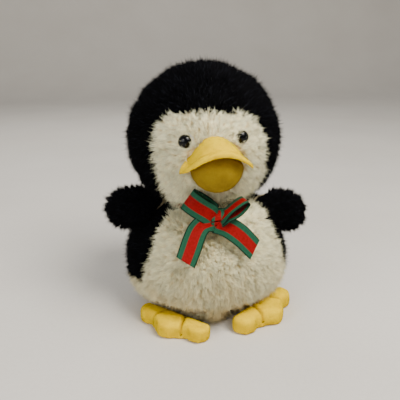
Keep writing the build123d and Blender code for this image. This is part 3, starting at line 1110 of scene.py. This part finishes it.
@dataclass
class Body:
    """The pear-shaped body on its flat base, and the neck inside it."""

    finishes: Finishes
    widest: float = 54 * MM
    radius: float = 85 * MM
    belly_outline: tuple[tuple[float, float], ...] = (
        (-5, 90), (34, 90), (43, 69), (59, 64), (70, 60.5), (77, 58), (86, 55), (94, 51), (102, 46), (110, 38),
        (118, 34))
    belly_shift: float = 3 * MM
    chest_rise: float = 8 * MM
    skirt: float = 30 * MM
    lower_arc: float = 59.16 * MM
    upper_arc: float = 67.5 * MM
    neck_radius: float = 0.043
    neck_foot: float = 98 * MM
    base_radius: float = 43 * MM
    settled: tuple[tuple[float, ...], ...] = ((6, 22, 400), (1, 20, 398))
    pile: Pile = Pile(8.2 * MM, 52000, strays=0.2)
    collar: Pile = Pile(10.0 * MM, 15000)
    stuffing: Stuffing = Stuffing(voxel=4 * MM, inset=8 * MM, cap=1.5 * MM)

    def in_belly(self, points: np.ndarray) -> np.ndarray:
        """Whether each point is on the cream belly."""
        x, y, z = points.T
        heights, widths = np.array(self.belly_outline).T * MM
        return (np.abs(x - self.belly_shift) < np.interp(z, heights, widths)) & (y < 0)

    def clear(self, points: np.ndarray) -> np.ndarray:
        """Whether pile can grow there: not on the base, deep inside the body's outline or inside the neck."""
        x, y, z = points.T
        round_way = np.hypot(x, y)
        arc = np.where(z < self.widest, self.lower_arc, self.upper_arc)
        outline = self.radius - arc + np.sqrt(np.clip(arc**2 - (z - self.widest) ** 2, 0, None))
        outside = (round_way > outline - 12 * MM) | ((z > self.neck_foot) & (round_way > self.neck_radius))
        return outside & (z > 2.5 * MM)

    def brushed(self, points: np.ndarray) -> np.ndarray:
        """The way that the body's pile lies: down and slightly outwards, spreading out at the floor."""
        away = unit(points * np.array([1.0, 1.0, 0.0]))
        low = np.clip((self.skirt - points[:, 2:]) / self.skirt, 0, 1)
        return away * (0.1 + 1.6 * low) + np.array([0.0, 0.0, -0.55]) * (1 - 1.6 * low)

    def build(self) -> None:
        """Make the skin, the pile on each panel, the base and the neck."""
        skin = self.stuffing.stuff("body_form", ("body_back_left", "body_back_right", "belly_left",
                                                 "belly_right", "base_panel", "body_stuffing"))
        points = points_of(skin.data)
        before, after = np.array(self.settled) * MM
        points[:, 2] = np.interp(points[:, 2], before, after)
        high = np.clip((points[:, 2] - 0.086) / 0.016, 0, 1)
        outer = np.clip((np.hypot(points[:, 0], points[:, 1]) - 0.034) / 0.01, 0, 1)
        points[:, 2] += self.chest_rise * high * outer
        set_points(skin.data, points)
        line_with(skin, self.finishes.black_back, self.finishes.white_back, self.in_belly)
        hand_over(skin, "torso", ("body_stuffing",))
        black, white = self.finishes.black_pile, self.finishes.white_pile
        for panel, finish, slot, gather, region, seeds in (
                ("body_back", black, Slot.BLACK, 0.6, lambda p: ~self.in_belly(p), (21, 22)),
                ("belly", white, Slot.WHITE, 0.5, self.in_belly, (23, 24))):
            for side, seed in zip(Side, seeds):
                node = f"{panel}_{side.value}"
                coat = replace(self.pile, gather=gather, seed=seed).grow(
                    f"{node}_pile", skin, finish, lambda p, r=region, s=side: r(p) & s.holds(p) & self.clear(p),
                    self.brushed)
                hand_over(coat, "torso", (node,))
        self.build_base()
        neck = Stuffing(voxel=4 * MM, inset=4 * MM, cap=1.5 * MM).stuff("neck_form", ("neck_stuffing",))
        neck.data.materials.append(self.finishes.black_back)
        hand_over(neck, "neck", ("neck_stuffing",))
        for name, finish, slot, region, seed in (
                ("neck_front_pile", self.finishes.face_pile, Slot.WHITE, self.in_throat, 27),
                ("neck_back_pile", self.finishes.black_pile, Slot.BLACK, lambda p: ~self.in_throat(p), 28)):
            coat = replace(self.collar, seed=seed).grow(name, neck, finish, region, self.brushed)
            hand_over(coat, "neck")

    def in_throat(self, points: np.ndarray) -> np.ndarray:
        """Whether each point of the neck is on its cream front."""
        return (np.abs(points[:, 0]) < 33 * MM) & (points[:, 1] < 0)

    def build_base(self) -> None:
        """Make the flat base cloth with its turned edge."""
        build = bmesh.new()
        bmesh.ops.create_circle(build, cap_ends=True, segments=96, radius=self.base_radius)
        bmesh.ops.inset_region(build, faces=build.faces[:], thickness=2.4 * MM, depth=0.0)
        grown = bmesh.ops.extrude_face_region(build, geom=build.faces[:])
        top = [v for v in grown["geom"] if isinstance(v, bmesh.types.BMVert)]
        bmesh.ops.translate(build, vec=(0, 0, 4 * MM), verts=top)
        rim = [e for e in build.edges
               if e.calc_length() < 4 * MM and abs(e.verts[0].co.z - e.verts[1].co.z) < LEVEL
               and min(v.co.xy.length for v in e.verts) > self.base_radius - 0.1 * MM]
        bmesh.ops.bevel(build, geom=rim, offset=1.2 * MM, affect="EDGES", segments=3, profile=0.5, material=-1)
        base = link("base_cloth", mesh_from(build), self.finishes.black_back)
        hand_over(base, "torso", ("base_panel",))


@dataclass
class Wing:
    """One flat wing: black pile outside, cream lining inside."""

    finishes: Finishes
    side: Side
    lift: float
    tuck: float
    middle: Point = (62 * MM, -12 * MM, 120 * MM)
    drop: float = 33.0
    twist: float = 24.0
    root_reach: float = 90 * MM
    root_pull: Point = (-18.0, 0.0, 1.0)
    stuffing: Stuffing = Stuffing(voxel=3 * MM, inset=3.2 * MM, cap=1.6 * MM)

    def build(self) -> None:
        """Make the stuffed wing and the pile on its outside."""
        name = f"wing_{self.side.value}"
        form = self.stuffing.stuff(f"{name}_form", (f"{name}_outer", f"{name}_lining", f"{name}_stuffing"))
        middle, outwards = self.mid_plane()
        points = points_of(form.data)
        near = np.clip((self.root_reach - np.abs(points[:, 0])) / (30 * MM), 0, 1) ** 1.3
        points += near[:, None] * np.array(self.root_pull) * np.array([self.side.sign, 1, 1]) * MM
        moved = np.array([-self.side.sign * self.tuck, 0, self.lift])
        points += moved
        middle = middle + moved
        set_points(form.data, points)
        level = (points - middle) @ outwards
        # The seam mask runs along the wing's rim, where the lining is painted darker as shade next to the black
        # outside.
        write_mask(form, np.exp(-(((level + 1.0 * MM) / (1.5 * MM)) ** 2)))
        line_with(form, self.finishes.lining, self.finishes.black_back,
                  lambda p: (p - middle) @ outwards > 0.5 * MM)
        hand_over(form, name, (f"{name}_lining", f"{name}_stuffing"))
        pile = Pile(7.0 * MM, 32000, tuft=2.2 * MM, gather=0.5, strays=0.2, seed=41 + int(self.side.sign))
        coat = pile.grow(f"{name}_pile", form, self.finishes.black_pile,
                         lambda p: (p - middle) @ outwards > 1.0 * MM, self.brushed)
        hand_over(coat, name, (f"{name}_outer",))

    def mid_plane(self) -> tuple[np.ndarray, np.ndarray]:
        """A point between the wing's faces, and the way that its black face looks."""
        drop, twist = math.radians(self.drop), math.radians(self.twist)
        along = Vector((math.cos(drop), -0.05, -math.sin(drop)))
        across = Vector((-math.sin(drop) * math.cos(twist), -math.sin(twist),
                         -math.cos(drop) * math.cos(twist)))
        out = across.cross(along).normalized()
        mirror = np.array([self.side.sign, 1.0, 1.0])
        return np.array(self.middle) * mirror, np.array(out) * mirror

    def brushed(self, points: np.ndarray) -> np.ndarray:
        """The way that the wing's pile lies: towards its tip."""
        return same_way(points, self.side.sign * 0.6, -0.1, -0.6)


@dataclass
class Foot:
    """One yellow foot: three toes divided by sewn channels, on a flat sole."""

    finishes: Finishes
    side: Side
    place: tuple[float, float, float]
    draw: float
    heel_back: float = 45 * MM
    toe_spread: float = 40.5
    channel: tuple[float, float] = (22 * MM, 64 * MM)
    channel_depth: float = 4.0 * MM
    channel_width: float = 2.3 * MM
    sole_height: float = 0.6 * MM
    stuffing: Stuffing = Stuffing(voxel=2.5 * MM, inset=1.4 * MM, cap=1.6 * MM)

    def along(self, angle: float, reach: float, height: float) -> Point:
        """A point at a reach from the heel, at an angle from the middle toe."""
        x, y, splay = self.place
        way = math.radians(angle)
        local = Vector((reach * math.sin(way), self.heel_back - reach * math.cos(way), height))
        placed = Matrix.Translation((x * MM, y * MM, 0)) @ Matrix.Rotation(math.radians(splay), 4, "Z") @ local
        return tuple(placed)

    def build(self) -> None:
        """Make the stuffed foot, its channels and its fuzz."""
        name = f"foot_{self.side.value}"
        form = self.stuffing.stuff(f"{name}_form", (f"{name}_upper", f"{name}_sole", f"{name}_stuffing"))
        form.data.materials.append(self.finishes.yellow)
        heel = np.array(self.along(0, 0, 0))
        set_points(form.data, heel + (points_of(form.data) - heel) * self.draw)
        near, far = self.channel
        lines = [[self.along(a, r, 15 * MM) for r in np.linspace(near, far, 6)]
                 for a in (-self.toe_spread / 2, self.toe_spread / 2)]
        press_lines(form, lines, self.channel_depth, self.channel_width, Vector((0, 0, -1)))
        points = points_of(form.data)
        points[:, 2] = np.maximum(points[:, 2], self.sole_height)
        set_points(form.data, points)
        hand_over(form, name, (f"{name}_sole", f"{name}_stuffing"))
        flat = np.array([1.0, 1.0, 0.0])
        coat = replace(FUZZ, seed=51 + int(self.side.sign)).grow(
            f"{name}_fuzz", form, self.finishes.yellow_fuzz,
            lambda p: (p[:, 2] > 2 * MM) & (gap_to(p * flat, np.array(lines) * flat) > 1.0 * MM),
            lambda p: same_way(p, 0.0, -0.6, -0.3))
        hand_over(coat, name, (f"{name}_upper",))


@dataclass(frozen=True)
class Strip:
    """One length of ribbon along a line of stations, in millimetres.

    Attributes:
        name: the piece's name.
        body: the body that it rides on.
        node: the CAD node that it stands for.
        held: how the ribbon is held; not used.
        centres: the stations along its middle.
        widths: which way its width runs at each station.
        width: how wide it is.
        thickness: how thick it is.
    """

    name: str
    body: str
    node: str
    held: str
    centres: tuple[Point, ...]
    widths: tuple[Point, ...]
    width: float = 20.0
    thickness: float = 0.45

    def build(self, finish: bpy.types.Material) -> None:
        stations, ways = self.curve(np.array(self.centres)), unit(self.curve(np.array(self.widths)))
        steps = np.linalg.norm(np.diff(stations, axis=0), axis=1)
        run = np.concatenate([[0], np.cumsum(steps)])
        build = bmesh.new()
        build.loops.layers.uv.new("ribbon")
        bmesh.ops.create_grid(build, x_segments=10, y_segments=60, size=0.5, calc_uvs=True)
        for vert in build.verts:
            share = (vert.co.y + 0.5) * run[-1]
            centre = Vector([float(np.interp(share, run, stations[:, i])) for i in range(3)])
            way = Vector([float(np.interp(share, run, ways[:, i])) for i in range(3)])
            vert.co = (centre + way.normalized() * vert.co.x * self.width) * MM
        layer = build.loops.layers.uv["ribbon"]
        for face in build.faces:
            for loop in face.loops:
                loop[layer].uv.y *= run[-1] / self.width
        mesh = bpy.data.meshes.new(self.name)
        build.to_mesh(mesh)
        build.free()
        piece = link(self.name, mesh, finish)
        thick = piece.modifiers.new("Thickness", "SOLIDIFY")
        thick.thickness, thick.offset = self.thickness * MM, 0.0
        settle(piece)
        piece.data.shade_smooth()
        hand_over(piece, self.body, (self.node,))
        log.info("%s is cut %.0f mm long", self.name, float(run[-1]))

    def curve(self, points: np.ndarray) -> np.ndarray:
        """Round a line of stations off into many, through each of them."""
        padded = np.vstack([2 * points[0] - points[1], points, 2 * points[-1] - points[-2]])
        rows = []
        for i in range(1, len(padded) - 2):
            before, start, end, after = padded[i - 1: i + 3]
            slope, bow = end - before, 2 * before - 5 * start + 4 * end - after
            twist = 3 * start - before - 3 * end + after
            for t in np.linspace(0, 1, 12, endpoint=i == len(padded) - 3):
                rows.append(0.5 * (2 * start + slope * t + bow * t**2 + twist * t**3))
        return np.array(rows)


@dataclass
class Bow:
    """The striped ribbon: its band in the neck crease, a knot, two loops and two tails."""

    finishes: Finishes
    knot: Point = (-0.8, -68.0, 115.5)
    band_radius: float = 38.5
    band_height: float = 113.0

    def build(self) -> None:
        """Make every length of ribbon."""
        for strip in (self.band(), self.right_loop(), self.left_loop(), self.right_tail(), self.left_tail()):
            strip.build(self.finishes.ribbon)
        self.build_knot()

    def band(self) -> Strip:
        """The band round the neck, gathered narrow in the crease."""
        turns = np.radians(np.linspace(-88, 268, 25))
        centres = tuple((self.band_radius * math.cos(a), self.band_radius * math.sin(a), self.band_height)
                        for a in turns)
        widths = tuple((0.25 * math.cos(a), 0.25 * math.sin(a), -1.0) for a in turns)
        return Strip("ribbon_band", "torso", "ribbon_neckband", "gathered", centres, widths, width=10.0)

    def right_loop(self) -> Strip:
        """The loop that stands open to the front."""
        x, y, z = self.knot
        centres = ((x - 2, y - 5, z + 1), (x - 8, y - 8, z + 7), (x - 17, y - 8, z + 13),
                   (x - 24, y - 6, z + 18), (x - 26.5, y - 2, z + 20), (x - 24, y + 2, z + 19),
                   (x - 15, y + 3.5, z + 13), (x - 6, y + 3, z + 6), (x - 1, y + 1, z + 1))
        widths = ((0.2, 0, 0.6),) + ((0.6, 0.05, 0.8),) * 7 + ((0.2, 0, 0.6),)
        return Strip("ribbon_right_loop", "torso", "ribbon_loop_right", "folded", centres, widths)

    def left_loop(self) -> Strip:
        """The loop that is seen from its edge."""
        x, y, z = self.knot
        centres = ((x + 2.5, y - 4, z + 2.5), (x + 9, y - 6, z + 8), (x + 17, y - 4, z + 13.5),
                   (x + 24.5, y - 1, z + 16.5), (x + 27.5, y + 1, z + 14), (x + 24, y - 1, z + 9.5),
                   (x + 16.5, y - 5, z + 5), (x + 9, y - 6, z + 2), (x + 2.5, y - 3, z + 0.5))
        widths = ((-0.1, 0.8, 0.5),) + ((-0.1, 0.995, -0.02),) * 7 + ((-0.1, 0.8, 0.5),)
        return Strip("ribbon_left_loop", "torso", "ribbon_loop_left", "folded", centres, widths)

    def right_tail(self) -> Strip:
        """The tail that folds over and hangs to the penguin's right."""
        x, y, z = self.knot
        centres = ((x - 3, y - 5, z - 0.5), (x - 10, y - 7.5, z - 1.5), (x - 17, y - 10, z - 5),
                   (x - 21.5, y - 12.5, z - 12), (x - 26, y - 15.5, z - 23), (x - 30.5, y - 18.5, z - 33.5))
        widths = ((0.1, 0, -1.0), (0.5, 0, -0.86), (0.9, 0.05, -0.4), (0.97, 0.05, -0.22), (0.9, 0, -0.4),
                  (0.80, 0, -0.60))
        return Strip("ribbon_right_tail", "ribbon_tail_right", "ribbon_tail_right", "hung", centres, widths)

    def left_tail(self) -> Strip:
        """The tail that hangs out to the penguin's left."""
        x, y, z = self.knot
        centres = ((x + 1, y - 6, z - 3.5), (x + 11, y - 9.5, z - 7), (x + 20, y - 12, z - 13.5),
                   (x + 26.5, y - 13.5, z - 20), (x + 32.5, y - 15.5, z - 26.5))
        widths = ((0.6, 0, 0.8), (0.62, 0, 0.78), (0.55, 0.05, 0.83), (0.48, 0.08, 0.87), (0.43, 0.1, 0.9))
        return Strip("ribbon_left_tail", "ribbon_tail_left", "ribbon_tail_left", "hung", centres, widths)

    def build_knot(self) -> None:
        """Make the knot: one turn of ribbon pulled tight round the middle."""
        x, y, z = self.knot
        turns = np.radians(np.linspace(0, 350, 13))
        centres = tuple((x + 0.6 * math.sin(a), y - 1 - 6.0 * math.cos(a), z + 7.0 * math.sin(a))
                        for a in turns)
        widths = tuple((1.0, 0.0, 0.12) for _ in turns)
        strip = Strip("ribbon_knot_turn", "torso", "ribbon_knot", "folded", centres, widths, width=12.0)
        strip.build(self.finishes.ribbon)


@dataclass
class Studio:
    """The pale floor, the soft lights and the camera, with its angles in degrees and its lens in millimetres."""

    finishes: Finishes
    aim: Point = (-6.1 * MM, 0.9 * MM, 110 * MM)
    lit: Point = (0, 0, 0.1)
    distance: float = 531 * MM
    azimuth: float = -8.0
    elevation: float = 18.5
    lens: float = 46.6

    def build(self) -> None:
        """Set the whole studio up."""
        self.build_floor()
        for name, place, size, power, colour in (
                ("Key", (0.5, -0.6, 1.2), 0.8, 31.0, (1.0, 0.97, 0.92)),
                ("Fill", (-1.0, -0.9, 0.7), 1.0, 12.0, (0.97, 0.98, 1.0)),
                ("Back", (-0.2, 0.9, 0.9), 0.9, 5.0, (1.0, 0.98, 0.95))):
            self.light(name, place, size, power, colour)
        world = bpy.data.worlds.new("Studio air")
        world.use_nodes = True
        background = next(n for n in world.node_tree.nodes if n.type == "BACKGROUND")
        background.inputs["Color"].default_value = (0.92, 0.90, 0.87, 1.0)
        background.inputs["Strength"].default_value = 0.35
        bpy.context.scene.world = world
        self.build_camera()

    def build_floor(self) -> None:
        """Make a floor that curves up into a backdrop."""
        build = bmesh.new()
        bmesh.ops.create_grid(build, x_segments=2, y_segments=2, size=1.6)
        back = [e for e in build.edges if all(v.co.y > 1.5 for v in e.verts)]
        bmesh.ops.spin(build, geom=back, cent=(0, 1.6, 0.5), axis=(1, 0, 0), dvec=(0, 0, 0),
                       angle=math.radians(80), steps=16, use_merge=False)
        floor = link("floor", mesh_from(build), self.finishes.floor)

    def light(self, name: str, place: Point, size: float, power: float, colour: Point) -> None:
        """Add one soft area light, aimed at the toy."""
        data = bpy.data.lights.new(name, "AREA")
        data.shape, data.size, data.energy, data.color = "DISK", size, power, colour
        lamp = bpy.data.objects.new(name, data)
        lamp.location = place
        lamp.rotation_euler = (Vector(self.lit) - Vector(place)).to_track_quat("-Z", "Y").to_euler()
        bpy.context.scene.collection.objects.link(lamp)

    def build_camera(self) -> None:
        """Place the camera and make it the scene's own."""
        turn, rise = math.radians(self.azimuth), math.radians(self.elevation)
        way = Vector((math.sin(turn) * math.cos(rise), -math.cos(turn) * math.cos(rise), math.sin(rise)))
        data = bpy.data.cameras.new("Camera")
        data.lens, data.sensor_width, data.clip_start = self.lens, 36.0, 0.01
        camera = bpy.data.objects.new("Camera", data)
        camera.location = Vector(self.aim) + way * self.distance
        camera.rotation_euler = (-way).to_track_quat("-Z", "Y").to_euler()
        bpy.context.scene.collection.objects.link(camera)
        bpy.context.scene.camera = camera


def main() -> None:
    """Build the toy and its studio, in order."""
    logging.basicConfig(level=logging.INFO, format="%(name)s: %(message)s")
    finishes = Finishes()
    head = Head(finishes)
    head.build()
    Beak(finishes, head).build()
    Body(finishes).build()
    Wing(finishes, Side.LEFT, lift=-6 * MM, tuck=4 * MM).build()
    Wing(finishes, Side.RIGHT, lift=5 * MM, tuck=5 * MM).build()
    Foot(finishes, Side.LEFT, (56.0, -57.0, 42.5), draw=1.03).build()
    Foot(finishes, Side.RIGHT, (-48.0, -69.0, -43.0), draw=0.95).build()
    Bow(finishes).build()
    Studio(finishes).build()


if __name__ == "__main__":
    main()
